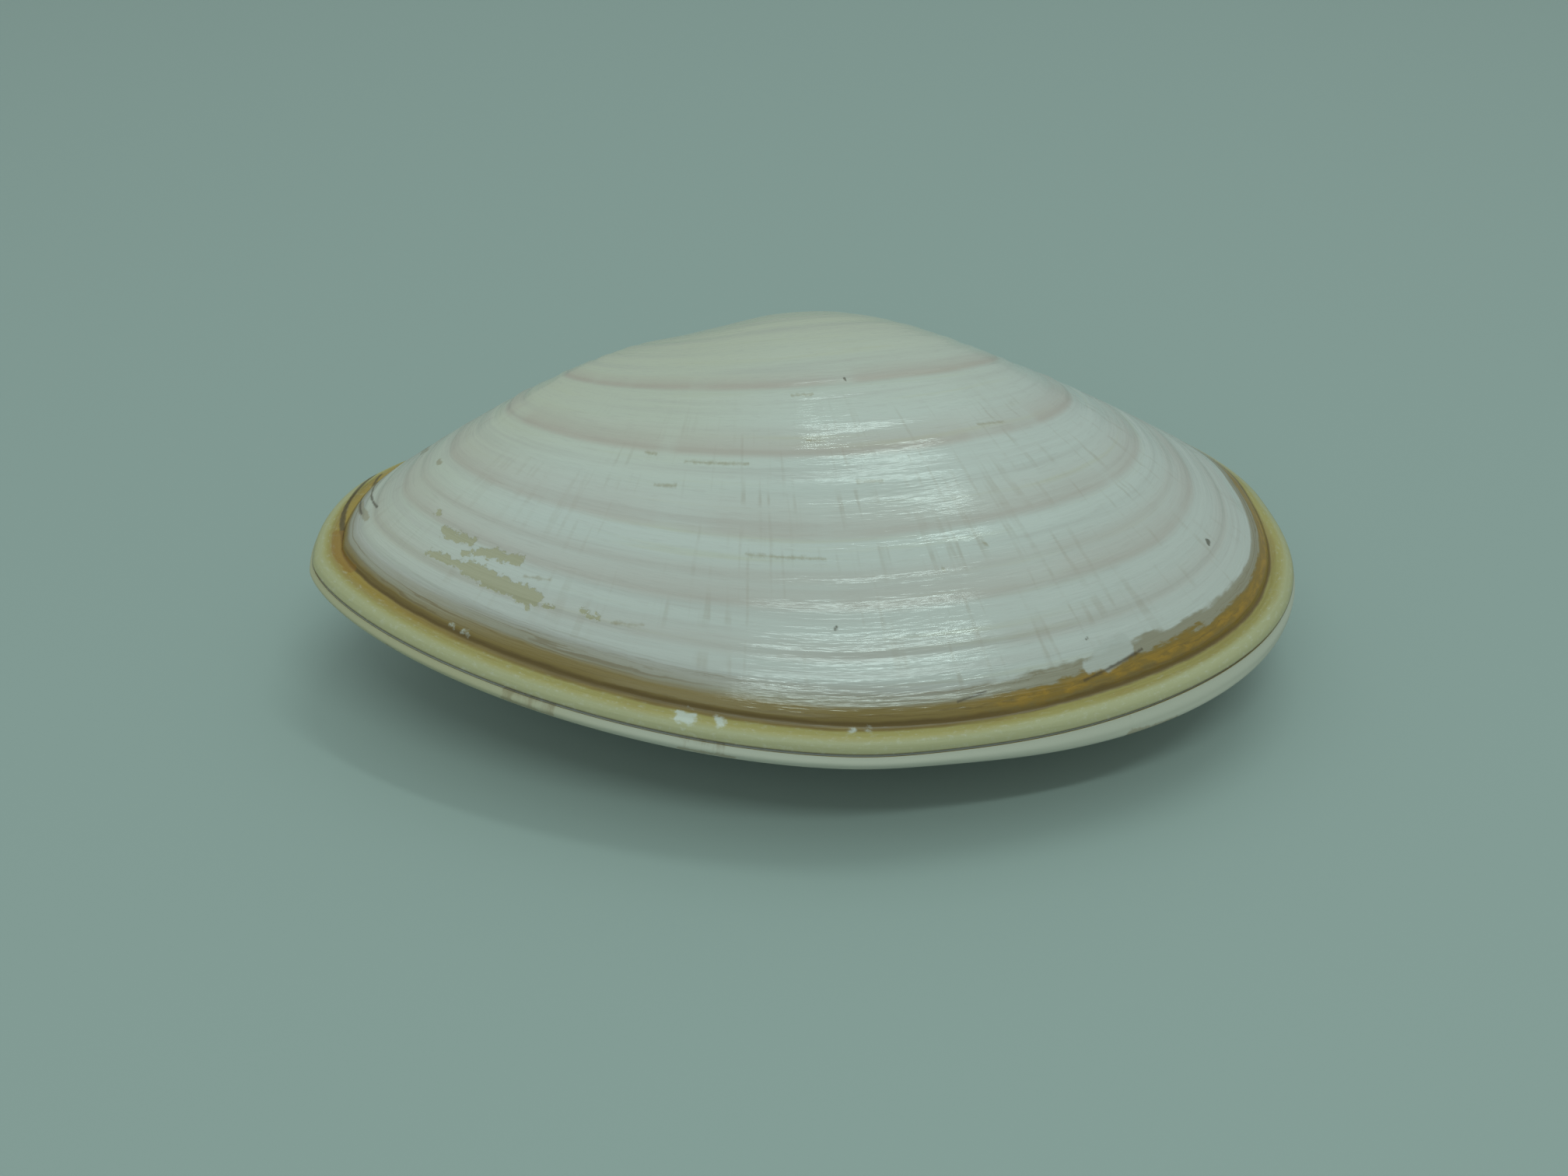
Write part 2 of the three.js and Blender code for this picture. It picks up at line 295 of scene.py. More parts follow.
# Marks, each from (way, size) to (way, size) with a half width in millimetres
MARK_SCALE = (200.0, 42.0)  # rough millimetres in a unit of way and of size near the margin
MARK_KINDS = {  # fray and softness of the edge in millimetres, strength, colour
    "flakes": (1.5, 0.08, 0.9, FLAKED_BEIGE),
    "dashes": (0.55, 0.14, 0.5, (0.30, 0.22, 0.10, 1.0)),
    "specks": (0.55, 0.08, 0.8, (0.10, 0.08, 0.05, 1.0)),
    "tongues": (0.55, 0.14, 0.85, (0.54, 0.525, 0.49, 1.0)),
    "stains": (0.55, 0.08, 0.5, (0.29, 0.20, 0.09, 1.0)),
    "dark_lines": (0.2, 0.08, 0.8, (0.085, 0.055, 0.03, 1.0)),
    "ambers": (0.55, 0.08, 0.6, (0.33, 0.16, 0.03, 1.0)),
    "chips": (1.5, 0.22, 0.8, (0.66, 0.67, 0.64, 1.0)),
}
DOME_KINDS = ("dashes", "specks")
MARGIN_KINDS = ("tongues", "stains", "dark_lines", "ambers", "chips")
UPPER_MARKS = {
    "flakes": [
        (0.277, 0.801, 0.279, 0.803, 0.2), (0.287, 0.823, 0.304, 0.818, 0.33),
        (0.311, 0.826, 0.332, 0.818, 0.33), (0.304, 0.84, 0.311, 0.832, 0.15),
        (0.289, 0.862, 0.311, 0.855, 0.25), (0.311, 0.856, 0.348, 0.864, 0.5),
        (0.344, 0.872, 0.346, 0.877, 0.2), (0.352, 0.869, 0.357, 0.869, 0.12),
        (0.37, 0.862, 0.377, 0.868, 0.16)],
    "dashes": [
        (0.384, 0.868, 0.398, 0.862, 0.06), (0.338, 0.838, 0.35, 0.832, 0.06),
        (0.4, 0.61, 0.441, 0.608, 0.06), (0.475, 0.487, 0.493, 0.487, 0.07),
        (0.441, 0.745, 0.48, 0.747, 0.05), (0.372, 0.6, 0.38, 0.602, 0.1),
        (0.385, 0.655, 0.398, 0.652, 0.07), (0.505, 0.64, 0.52, 0.642, 0.05),
        (0.56, 0.745, 0.5615, 0.748, 0.08), (0.535, 0.772, 0.536, 0.775, 0.07),
        (0.48, 0.57, 0.492, 0.572, 0.05), (0.6, 0.575, 0.62, 0.58, 0.05)],
    "specks": [
        (0.675, 0.862, 0.677, 0.858, 0.14), (0.48, 0.839, 0.481, 0.836, 0.05),
        (0.523, 0.461, 0.524, 0.463, 0.1), (0.585, 0.893, 0.586, 0.892, 0.06)],
    "stains": [
        (0.196, 0.839, 0.215, 0.8, 0.35), (0.246, 0.741, 0.25, 0.74, 0.2),
        (0.225, 0.92, 0.245, 0.89, 0.25)],
    "dark_lines": [
        (0.191, 0.95, 0.243, 0.869, 0.08), (0.191, 0.967, 0.237, 0.905, 0.08),
        (0.19, 0.985, 0.243, 0.944, 0.16), (0.576, 0.94, 0.606, 0.925, 0.07),
        (0.524, 0.938, 0.536, 0.93, 0.06)],
    "ambers": [(0.236, 0.955, 0.262, 0.95, 0.35)],
    "tongues": [(0.587, 0.9225, 0.6, 0.912, 0.62), (0.58, 0.926, 0.59, 0.922, 0.35)],
    "chips": [
        (0.4195, 0.973, 0.4225, 0.974, 0.5), (0.4335, 0.969, 0.4345, 0.973, 0.35),
        (0.482, 0.966, 0.483, 0.966, 0.1), (0.488, 0.965, 0.489, 0.965, 0.06),
        (0.318, 0.941, 0.32, 0.941, 0.05), (0.325, 0.94, 0.327, 0.94, 0.03)],
}
LOWER_MARKS = {
    "flakes": [(0.246, 0.884, 0.252, 0.887, 0.22), (0.3, 0.868, 0.305, 0.871, 0.14)],
    "dashes": [
        (0.43, 0.62, 0.47, 0.62, 0.06), (0.55, 0.74, 0.6, 0.745, 0.05), (0.33, 0.7, 0.36, 0.71, 0.05)],
    "specks": [(0.418, 0.869, 0.42, 0.869, 0.08), (0.37, 0.56, 0.371, 0.562, 0.1)],
    "stains": [
        (0.3, 0.992, 0.306, 0.985, 0.3), (0.352, 0.997, 0.372, 0.997, 0.16),
        (0.42, 0.997, 0.44, 0.996, 0.14), (0.585, 0.992, 0.605, 0.988, 0.25)],
    "dark_lines": [(0.2, 0.985, 0.243, 0.944, 0.18), (0.2, 0.95, 0.235, 0.9, 0.12)],
    "ambers": [(0.24, 0.952, 0.262, 0.948, 0.35)],
    "chips": [
        (0.624, 0.953, 0.637, 0.957, 0.5), (0.648, 0.967, 0.655, 0.976, 0.3),
        (0.602, 0.97, 0.6035, 0.971, 0.28), (0.463, 0.948, 0.464, 0.948, 0.12)],
}


def margin_table():
    """The margin as a fine line from the hinge line under the beak round by the posterior end."""
    angle = np.linspace(0.5 * np.pi, 2.5 * np.pi, MARGIN_STEPS + 1)
    along = np.cos(angle)
    across = np.sin(angle)
    dorsal_power = np.where(along < 0, POSTERIOR_DORSAL_POWER, ANTERIOR_DORSAL_POWER)
    ventral_power = np.where(along < 0, POSTERIOR_VENTRAL_POWER, ANTERIOR_VENTRAL_POWER)
    power = 2.0 / np.where(across > 0, dorsal_power, ventral_power)
    reach = np.where(along < 0, POSTERIOR_REACH, ANTERIOR_REACH)
    height = np.where(across > 0, DORSAL_HEIGHT, VENTRAL_HEIGHT)
    x = reach * np.sign(along) * np.abs(along) ** power
    y = height * np.sign(across) * np.abs(across) ** power - DORSAL_HEIGHT - BEAK_STAND_OUT
    y = y - POSTERIOR_RISE * x * (1.0 - np.clip(across, 0.0, 1.0) ** 2)
    y = eased_middle(x, y)
    run = np.concatenate([[0.0], np.cumsum(np.hypot(np.diff(x), np.diff(y)))])
    return run / run[-1], x, y


def eased_middle(x, y):
    """Heights of the margin with the ventral middle, where two quarters meet, evened out."""
    near = np.exp(-((x / EASED_REACH) ** 2)) * (y < -DORSAL_HEIGHT - BEAK_STAND_OUT)
    span = np.abs(x) < EASED_SPAN
    ventral = np.where(span & (near > 0))[0]
    places = x[ventral]
    weights = np.exp(-0.5 * ((places[:, None] - places[None, ::EASED_STRIDE]) / EASED_SPREAD) ** 2)
    offsets = places[None, ::EASED_STRIDE] - places[:, None]
    # A weighted straight line through the neighbours keeps the slope right
    mean_offset = (weights * offsets).sum(axis=1) / weights.sum(axis=1)
    heights = y[ventral][None, ::EASED_STRIDE]
    mean_height = (weights * heights).sum(axis=1) / weights.sum(axis=1)
    spread = (weights * (offsets - mean_offset[:, None]) ** 2).sum(axis=1)
    slope = (weights * (offsets - mean_offset[:, None]) * heights).sum(axis=1) / spread
    eased = y.copy()
    eased[ventral] += near[ventral] * (mean_height - slope * mean_offset - y[ventral])
    return eased


MARGIN = margin_table()


def margin_points(ways):
    run, x, y = MARGIN
    return np.interp(ways % 1.0, run, x), np.interp(ways % 1.0, run, y)


def flexure(x):
    return FLEXURE * np.clip((-x - FLEXURE_START) / FLEXURE_RUN, 0.0, None) ** 2


def smooth_step(low, high, value):
    share = np.clip((value - low) / (high - low), 0.0, 1.0)
    return share * share * (3.0 - 2.0 * share)


def share_between(ways, begin, full, past, gone):
    """1 from full to past, fading to 0 at begin and at gone."""
    return smooth_step(begin, full, ways) * (1.0 - smooth_step(past, gone, ways))


def rolled_share(ways):
    """1 along the open edge, where the lip is rolled, and 0 along the hinge."""
    return share_between(ways, *LIP_WAYS)


def spread_share(ways):
    """1 near the anterior end, where the rim is at its widest."""
    return share_between(ways, *SPREAD_WAYS)


def near_share(ways, place, run):
    """1 at a place round the margin, falling smoothly to 0 at run to each side of it."""
    aside = np.minimum(1.0, np.abs(ways - place) / run)
    return np.cos(np.pi / 2 * aside) ** 2


def seam_lift(ways, sizes):
    anterior = near_share(ways, ANTERIOR_SEAM_WAY, ANTERIOR_SEAM_RUN)
    lift = SEAM_LIFT * rolled_share(ways) + ANTERIOR_SEAM_LIFT * anterior
    return lift * smooth_step(*SEAM_SIZES, sizes)


def growth_surface(ways, sizes, coil, side):
    """Points of the smooth growth surface, in the growth frame."""
    edge_x, edge_y = margin_points(ways)
    turn = coil * np.log(1.0 / sizes)
    anterior = smooth_step(-SWELL_RUN, SWELL_RUN, edge_x)
    swell = POSTERIOR_SWELL + (ANTERIOR_SWELL - POSTERIOR_SWELL) * anterior
    reach = np.hypot(edge_y, swell * edge_x)
    x = sizes * edge_x
    z = side * sizes * reach * np.sin(turn) + flexure(x) + seam_lift(ways, sizes)
    return np.stack([x, sizes * edge_y * np.cos(turn), z], axis=-1)


def smooth_line(points, count):
    """A curve through the points, at evenly shared parameters."""
    points = np.array([points[0], *points, points[-1]])
    spans = len(points) - 3
    place = np.linspace(0.0, spans, count)
    span = np.minimum(place.astype(int), spans - 1)
    t = (place - span)[:, None]
    a, b, c, d = (points[span + i] for i in range(4))
    bend = (2 * a - 5 * b + 4 * c - d) * t ** 2
    return 0.5 * (2 * b + (c - a) * t + bend + (3 * b - 3 * c + d - a) * t ** 3)


def outside_profile(lip):
    """Sizes of the outside's rings from the beak to the commissure, and the dome's and the lip's relief."""
    lip_line = smooth_line(lip, LIP_RINGS)
    sizes = np.linspace(FIRST_SIZE, lip[0][0], DOME_RINGS)[:-1]
    ledges = [place + step for place, _ in HALTS for step in (-HALT_DROP, 0.0)]
    sizes = np.sort(np.concatenate([sizes, ledges]))
    heights = np.zeros(len(sizes))
    for place, ledge in HALTS:
        rise = np.clip((sizes - place + HALT_RAMP) / (HALT_RAMP - HALT_DROP), 0.0, 1.0) ** 2
        heights += ledge * rise * (sizes < place - 1e-6)
    for waves, start, height in RIPPLES:
        heights += height * np.sin(2 * np.pi * waves * sizes + start) * smooth_step(*RIPPLE_SIZES, sizes)
    dome_heights = np.concatenate([heights, np.zeros(LIP_RINGS)])
    lip_heights = np.concatenate([np.zeros(len(sizes)), lip_line[:, 1]])
    return np.concatenate([sizes, lip_line[:, 0]]), dome_heights[:, None], lip_heights[:, None]


def laid_down(points):
    """Growth-frame millimetres to the frame's metres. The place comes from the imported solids' box."""
    turn = Matrix.Rotation(FRONT_DIP, 3, "X") @ Matrix.Rotation(POSTERIOR_LIFT, 3, "Y")
    return points @ np.array(turn).T * MM


def outside_grid(valve):
    ways = np.arange(COLUMNS)[None, :] / COLUMNS
    sizes, dome_heights, lip_heights = outside_profile(valve["lip"])
    sizes = sizes[:, None]
    edge_x, edge_y = margin_points(ways)
    narrowing = LIP_NARROWING * edge_x / ANTERIOR_REACH * smooth_step(*LIP_BLEND, sizes)
    spread = 1.0 + valve["spread"] * spread_share(ways) * smooth_step(*LIP_BLEND, sizes)
    sizes = 1.0 - (1.0 - sizes) * (1.0 - narrowing) * spread
    points = growth_surface(ways, sizes, valve["coil"], valve["side"])
    along_way = np.roll(points, -1, axis=1) - np.roll(points, 1, axis=1)
    along_size = np.gradient(points, axis=0)
    # Where the lip's rings fold back, the growth direction still points outwards
    along_size *= np.sign(np.gradient(sizes, axis=0))[..., None]
    normal = np.cross(along_size, along_way) * valve["side"]
    normal /= np.linalg.norm(normal, axis=-1, keepdims=True) + 1e-12
    fade = np.minimum(1.0, np.hypot(edge_x, edge_y) / FULL_LIP_REACH)
    full = 1.0 + valve["fullness"] * near_share(ways, FULL_WAY, FULL_RUN)
    height = dome_heights * fade ** 2 + lip_heights * fade * full * rolled_share(ways)
    points = points + normal * height[..., None]
    points[..., 2] += valve["side"] * VALVE_GAP / 2
    groove = valve["groove"] * (1.0 - LIP_NARROWING * edge_x / ANTERIOR_REACH)
    lip_place = np.abs(1.0 - sizes) / groove
    return points, sizes, lip_place


def inside_grid(valve):
    ways = np.arange(COLUMNS)[None, :] / COLUMNS
    sizes = np.array(INNER_SIZES)[:, None] * np.ones((1, COLUMNS))
    points = growth_surface(ways, sizes, valve["coil"], valve["side"])
    points = (points - MIDDLE) * INNER_SCALE + MIDDLE
    points[..., 2] += valve["side"] * VALVE_GAP / 2
    return points, sizes


def ring_faces(rings, columns, flipped):
    """Quads between rings, and a fan from one point at each end."""
    column = np.arange(columns)
    following = (column + 1) % columns
    faces = []
    for ring in range(rings - 1):
        low = 1 + ring * columns
        high = low + columns
        faces.append(np.stack([low + column, high + column, high + following, low + following], axis=1))
    quads = np.concatenate(faces)
    last = 1 + rings * columns
    first_fan = np.stack([np.zeros(columns, int), 1 + column, 1 + following], axis=1)
    last_ring = 1 + (rings - 1) * columns
    last_fan = np.stack([np.full(columns, last), last_ring + following, last_ring + column], axis=1)
    every = quads.tolist() + first_fan.tolist() + last_fan.tolist()
    return [face[::-1] for face in every] if flipped else every


def mesh_piece(name, points, faces, material):
    mesh = bpy.data.meshes.new(name)
    mesh.from_pydata(points.tolist(), [], faces)
    mesh.polygons.foreach_set("use_smooth", [True] * len(mesh.polygons))
    mesh.materials.append(material)
    mesh.update()
    piece = bpy.data.objects.new(name, mesh)
    bpy.context.collection.objects.link(piece)
    return piece


def store_values(piece, name, values):
    attribute = piece.data.attributes.new(name, "FLOAT", "POINT")
    attribute.data.foreach_set("value", np.ascontiguousarray(values, dtype=np.float32))


def store_way(piece, rings):
    """Way round the margin, kept on face corners so that it doesn't wrap back inside one face."""
    mesh = piece.data
    corner_vertex = np.zeros(len(mesh.loops), int)
    mesh.loops.foreach_get("vertex_index", corner_vertex)
    starts = np.zeros(len(mesh.polygons), int)
    totals = np.zeros(len(mesh.polygons), int)
    mesh.polygons.foreach_get("loop_start", starts)
    mesh.polygons.foreach_get("loop_total", totals)
    column = np.where(corner_vertex == 0, -1, (corner_vertex - 1) % COLUMNS)
    column = np.where(corner_vertex == 1 + rings * COLUMNS, -1, column)
    way = column / COLUMNS
    face = np.repeat(np.arange(len(starts)), totals)
    widest = np.maximum.reduceat(way, starts)[face]
    way = np.where((way >= 0) & (way < widest - 0.5), way + 1.0, way)
    way = np.where(way < 0, widest, way)
    attribute = mesh.attributes.new("way", "FLOAT", "CORNER")
    attribute.data.foreach_set("value", way.astype(np.float32))


def make_valve(name, valve, material, place):
    outside, sizes, lip_place = outside_grid(valve)
    inside, inner_sizes = inside_grid(valve)
    beak = np.array([[0.0, 0.0, valve["side"] * VALVE_GAP / 2]])
    inner_beak = (beak - MIDDLE) * INNER_SCALE + MIDDLE
    points = np.concatenate([beak, outside.reshape(-1, 3), inside.reshape(-1, 3), inner_beak])
    points = laid_down(points) + place
    points[:, 2] = np.maximum(points[:, 2], cad_box[0][2])
    rings = len(outside) + len(inside)
    piece = mesh_piece(name, points, ring_faces(rings, COLUMNS, valve["side"] < 0), material)
    size_values = np.concatenate([[0.0], sizes.ravel(), inner_sizes.ravel(), [0.0]])
    inner_lip = np.full(inner_sizes.size, lip_place.max())
    lip_values = np.concatenate([[lip_place.max()], lip_place.ravel(), inner_lip, [lip_place.max()]])
    store_values(piece, "growth", size_values)
    store_values(piece, "lip", lip_values)
    store_way(piece, rings)
    return piece


def frame_place():
    """Where the growth frame's origin goes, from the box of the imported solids."""
    ways = np.arange(COLUMNS)[None, :] / COLUMNS
    sizes = np.linspace(FIRST_SIZE, 1.0, DOME_RINGS)[:, None]
    dome = laid_down(growth_surface(ways, sizes, UPPER_COIL, 1) + np.array([0.0, 0.0, VALVE_GAP / 2]))
    upper_low, upper_high = (np.array(corner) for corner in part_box("upper_valve"))
    low = dome.reshape(-1, 3).min(axis=0)
    high = dome.reshape(-1, 3).max(axis=0)
    middle = (upper_low + upper_high) / 2 - (low + high) / 2
    return np.array([middle[0], middle[1], upper_high[2] - high[2]])


def make_ligament(material, place):
    """A fibrous spindle in the valley behind the beak, whose inner side reaches the hinge line."""
    share = np.linspace(0.0, 1.0, LIGAMENT_STATIONS + 1)[1:-1, None]
    start, end = LIGAMENT_WAYS
    ways = start + (end - start) * share
    x, y = margin_points(ways)
    ahead_x, ahead_y = margin_points(ways + 1e-3)
    forward = np.stack([ahead_x - x, ahead_y - y], axis=-1)
    forward /= np.linalg.norm(forward, axis=-1, keepdims=True)
    outward = np.stack([forward[..., 1], -forward[..., 0]], axis=-1)
    angle = 2 * np.pi * np.arange(LIGAMENT_SIDES)[None, :] / LIGAMENT_SIDES
    taper = np.sqrt(np.sin(np.pi * share))
    fibre = 1.0
    for height, waves, drift in LIGAMENT_FIBRES:
        fibre = fibre + height * np.sin(waves * angle + drift * share)
    reach = LIGAMENT_HALF_HEIGHT + LIGAMENT_SINK * LIGAMENT_CLEARANCE * (np.cos(angle) < 0)
    rise = LIGAMENT_CLEARANCE + LIGAMENT_HALF_HEIGHT + taper * fibre * reach * np.cos(angle)
    side = taper * fibre * LIGAMENT_HALF_WIDTH * np.sin(angle)
    points = np.stack([x + outward[..., 0] * rise, y + outward[..., 1] * rise, side + flexure(x)], axis=-1)
    ends = points[[0, -1]].mean(axis=1)
    points = np.concatenate([ends[:1], points.reshape(-1, 3), ends[1:]])
    faces = ring_faces(LIGAMENT_STATIONS - 1, LIGAMENT_SIDES, False)
    return mesh_piece("horny_ligament", laid_down(points) + place, faces, material)


def link(tree, value, socket):
    """A linked socket, or a plain value set on the socket."""
    if isinstance(value, bpy.types.NodeSocket):
        tree.links.new(value, socket)
    else:
        socket.default_value = value


def math_node(tree, operation, first, second=0.0, clamp=False):
    node = tree.nodes.new("ShaderNodeMath")
    node.operation = operation
    node.use_clamp = clamp
    link(tree, first, node.inputs[0])
    link(tree, second, node.inputs[1])
    return node.outputs[0]


def dot_node(tree, first, second):
    node = tree.nodes.new("ShaderNodeVectorMath")
    node.operation = "DOT_PRODUCT"
    link(tree, first, node.inputs[0])
    link(tree, second, node.inputs[1])
    return node.outputs["Value"]


def scaled(tree, value, factor):
    return math_node(tree, "MULTIPLY", value, factor)


def product(tree, first, *others):
    for other in others:
        first = math_node(tree, "MULTIPLY", first, other)
    return first


def total(tree, first, *others):
    for other in others:
        first = math_node(tree, "ADD", first, other)
    return first


def step_node(tree, value, low, high, kind="SMOOTHSTEP"):
    """0 below low and 1 above high, or the other way round where low is the greater."""
    node = tree.nodes.new("ShaderNodeMapRange")
    node.interpolation_type = kind
    link(tree, value, node.inputs["Value"])
    node.inputs["From Min"].default_value = min(low, high)
    node.inputs["From Max"].default_value = max(low, high)
    node.inputs["To Min"].default_value = float(low > high)
    node.inputs["To Max"].default_value = float(low < high)
    return node.outputs["Result"]


def between(tree, value, begin, full, past, gone):
    """1 from full to past, fading to 0 at begin and at gone."""
    return product(tree, step_node(tree, value, begin, full), step_node(tree, value, gone, past))


def mix_colours(tree, share, first, second):
    node = tree.nodes.new("ShaderNodeMix")
    node.data_type = "RGBA"
    link(tree, share, node.inputs["Factor"])
    link(tree, first, node.inputs["A"])
    link(tree, second, node.inputs["B"])
    return node.outputs["Result"]


def combined(tree, x, y, z=0.0):
    node = tree.nodes.new("ShaderNodeCombineXYZ")
    for value, socket in zip((x, y, z), node.inputs):
        link(tree, value, socket)
    return node.outputs[0]


def noise_node(tree, x, y, z=0.0, detail=3.0, roughness=0.55):
    """Noise over three coordinates that are already scaled, so it can be stretched along growth lines."""
    noise = tree.nodes.new("ShaderNodeTexNoise")
    noise.inputs["Scale"].default_value = 1.0
    noise.inputs["Detail"].default_value = detail
    noise.inputs["Roughness"].default_value = roughness
    tree.links.new(combined(tree, x, y, z), noise.inputs["Vector"])
    return noise.outputs["Fac"]


def stretched_noise(tree, first, second, pattern):
    """Noise over two values, each with its own scale."""
    first_scale, second_scale, plane, *grain = pattern
    x = scaled(tree, first, first_scale)
    y = scaled(tree, second, second_scale)
    return noise_node(tree, x, y, plane, *grain)


def centred(tree, noise, height):
    """Noise about 0 instead of about a half."""
    return scaled(tree, math_node(tree, "SUBTRACT", noise, 0.5), height)


def colour_ramp(tree, value, stops):
    """Colours at places along the lip, whose places run from 0 to LIP_SPAN."""
    node = tree.nodes.new("ShaderNodeValToRGB")
    ramp = node.color_ramp
    while len(ramp.elements) < len(stops):
        ramp.elements.new(1.0)
    for element, (place, colour) in zip(ramp.elements, stops):
        element.position = place / LIP_SPAN
        element.color = colour
    tree.links.new(value, node.inputs["Fac"])
    return node.outputs["Color"]


FLOAT = "NodeSocketFloat"
VECTOR = "NodeSocketVector"
COLOUR = "NodeSocketColor"


def new_group(name, inputs, outputs):
    """An empty shader node group with named sockets, and the sockets at its two ends."""
    group = bpy.data.node_groups.new(name, "ShaderNodeTree")
    for label, kind in inputs.items():
        group.interface.new_socket(label, in_out="INPUT", socket_type=kind)
    for label, kind in outputs.items():
        group.interface.new_socket(label, in_out="OUTPUT", socket_type=kind)
    start = group.nodes.new("NodeGroupInput")
    end = group.nodes.new("NodeGroupOutput")
    return group, start.outputs, end.inputs


def place_group(tree, group, **values):
    """The group placed in a material, with its inputs linked or set."""
    node = tree.nodes.new("ShaderNodeGroup")
    node.node_tree = group
    for label, value in values.items():
        link(tree, value, node.inputs[label.replace("_", " ")])
    return node.outputs


def layered(tree, colour, layers):
    """The colour with others over it, each with a mask and a strength."""
    for mask, strength, tint in layers:
        colour = mix_colours(tree, scaled(tree, mask, strength), colour, tint)
    return colour


def growth_lines_group():
    """Fine raised lines along the growing edge, and the streaky tone that goes with them."""
    group, given, made = new_group(
        "growth_lines", {"Growth": FLOAT, "Way": FLOAT}, {"Height": FLOAT, "Tone": FLOAT, "Fine": FLOAT})
    growth = given["Growth"]
    way = given["Way"]
    fine = stretched_noise(group, growth, way, FINE_LINES)
    broad = stretched_noise(group, growth, way, BROAD_LINES)
    height = total(group, scaled(group, fine, FINE_HEIGHT), scaled(group, broad, BROAD_HEIGHT))
    group.links.new(height, made["Height"])
    group.links.new(stretched_noise(group, growth, way, TONE_LINES), made["Tone"])
    group.links.new(fine, made["Fine"])
    return group


def radial_streaks_group():
    """Short thin streaks along the rays from the beak, strongest on the anterior half."""
    group, given, made = new_group("radial_streaks", {"Growth": FLOAT, "Way": FLOAT}, {"Mask": FLOAT})
    growth = given["Growth"]
    way = given["Way"]
    thin = step_node(group, stretched_noise(group, way, growth, THIN_RAYS), *RAY_EDGE)
    patchy = step_node(group, stretched_noise(group, way, growth, PATCHY_RAYS), *RAY_PATCHES)
    grown = step_node(group, growth, *RAY_SIZES)
    anterior = between(group, way, *RAY_WAYS)
    strength = total(group, scaled(group, anterior, 1.0 - FEWEST_RAYS), FEWEST_RAYS)
    group.links.new(product(group, thin, patchy, grown, strength), made["Mask"])
    return group


def dome_colour_group():
    """White dome, cream towards the beak, with soft streaks along and across the growth lines."""
    group, given, made = new_group(
        "dome_colour", {"Growth": FLOAT, "Way": FLOAT, "Tone": FLOAT, "Fine": FLOAT, "Streaks": FLOAT},
        {"Color": COLOUR})
    growth = given["Growth"]
    way = given["Way"]
    colour = mix_colours(group, step_node(group, growth, *WHITE_SIZES), CREAM, WHITE)
    early = product(group, step_node(group, way, *EARLY_CREAM_WAYS),
                    step_node(group, growth, *EARLY_CREAM_SIZES))
    layers = [  # mask, strength, colour
        (between(group, way, *CREAM_WAYS), 0.55, CREAM),
        (early, 0.5, CREAM),
        (step_node(group, given["Tone"], *GREY_TONES), 0.5, LILAC_GREY),
        (step_node(group, given["Tone"], *CREAM_TONES), 0.6, CREAM),
        (step_node(group, growth, *GREY_SIZES), 0.22, LILAC_GREY),
        (step_node(group, given["Fine"], *GREY_LINES), 0.2, LILAC_GREY),
        (given["Streaks"], 0.5, STREAK_TAN)]
    group.links.new(layered(group, colour, layers), made["Color"])
    return group


def growth_halt_group():
    """A soft band that deepens towards a halted edge and ends there, with a thin line on the edge."""
    group, given, made = new_group(
        "growth_halt", {"Growth": FLOAT, "Way": FLOAT, "Place": FLOAT, "Width": FLOAT}, {"Mask": FLOAT})
    way = given["Way"]
    place = given["Place"]
    drift = centred(group, stretched_noise(group, way, place, HALT_DRIFT), HALT_SHIFT)
    before = math_node(group, "SUBTRACT", total(group, place, drift), given["Growth"])
    ramp = math_node(group, "SUBTRACT", 1.0, math_node(group, "DIVIDE", before, given["Width"]), clamp=True)
    band = product(group, ramp, step_node(group, before, *HALT_EDGE))
    line = step_node(group, math_node(group, "ABSOLUTE", before), *HALT_LINE)
    both = total(group, scaled(group, band, HALT_BAND_STRENGTH), scaled(group, line, HALT_LINE_STRENGTH))
    unbroken = step_node(group, stretched_noise(group, way, place, HALT_BREAKS), *UNBROKEN_HALT)
    group.links.new(product(group, both, unbroken), made["Mask"])
    return group


def mark_place_group():
    """A place in rough millimetres along and across the growth lines, and a noise that frays edges there."""
    group, given, made = new_group(
        "mark_place", {"Growth": FLOAT, "Way": FLOAT}, {"Place": VECTOR, "Fray": FLOAT})
    along = scaled(group, given["Way"], MARK_SCALE[0])
    across = scaled(group, given["Growth"], MARK_SCALE[1])
    fray = stretched_noise(group, along, across, EDGE_FRAY)
    group.links.new(combined(group, along, across), made["Place"])
    group.links.new(centred(group, fray, 1.0), made["Fray"])
    return group


def mark_group():
    """One mark along a straight run with round ends and a frayed edge, about its middle along and across."""
    group, given, made = new_group(
        "mark", {"Place": VECTOR, "Along": VECTOR, "Across": VECTOR, "Middle Along": FLOAT,
                 "Middle Across": FLOAT, "Half Length": FLOAT, "Half Width": FLOAT, "Fray": FLOAT,
                 "Softness": FLOAT}, {"Mask": FLOAT})
    along = dot_node(group, given["Place"], given["Along"])
    along = math_node(group, "ABSOLUTE", math_node(group, "SUBTRACT", along, given["Middle Along"]))
    past_end = math_node(group, "MAXIMUM", math_node(group, "SUBTRACT", along, given["Half Length"]), 0.0)
    across = dot_node(group, given["Place"], given["Across"])
    across = math_node(group, "SUBTRACT", across, given["Middle Across"])
    square = total(group, product(group, past_end, past_end), product(group, across, across))
    apart = total(group, math_node(group, "SQRT", square), given["Fray"])
    beyond = math_node(group, "SUBTRACT", apart, given["Half Width"])
    softened = math_node(group, "DIVIDE", beyond, given["Softness"])
    group.links.new(step_node(group, softened, 1.0, -1.0), made["Mask"])
    return group


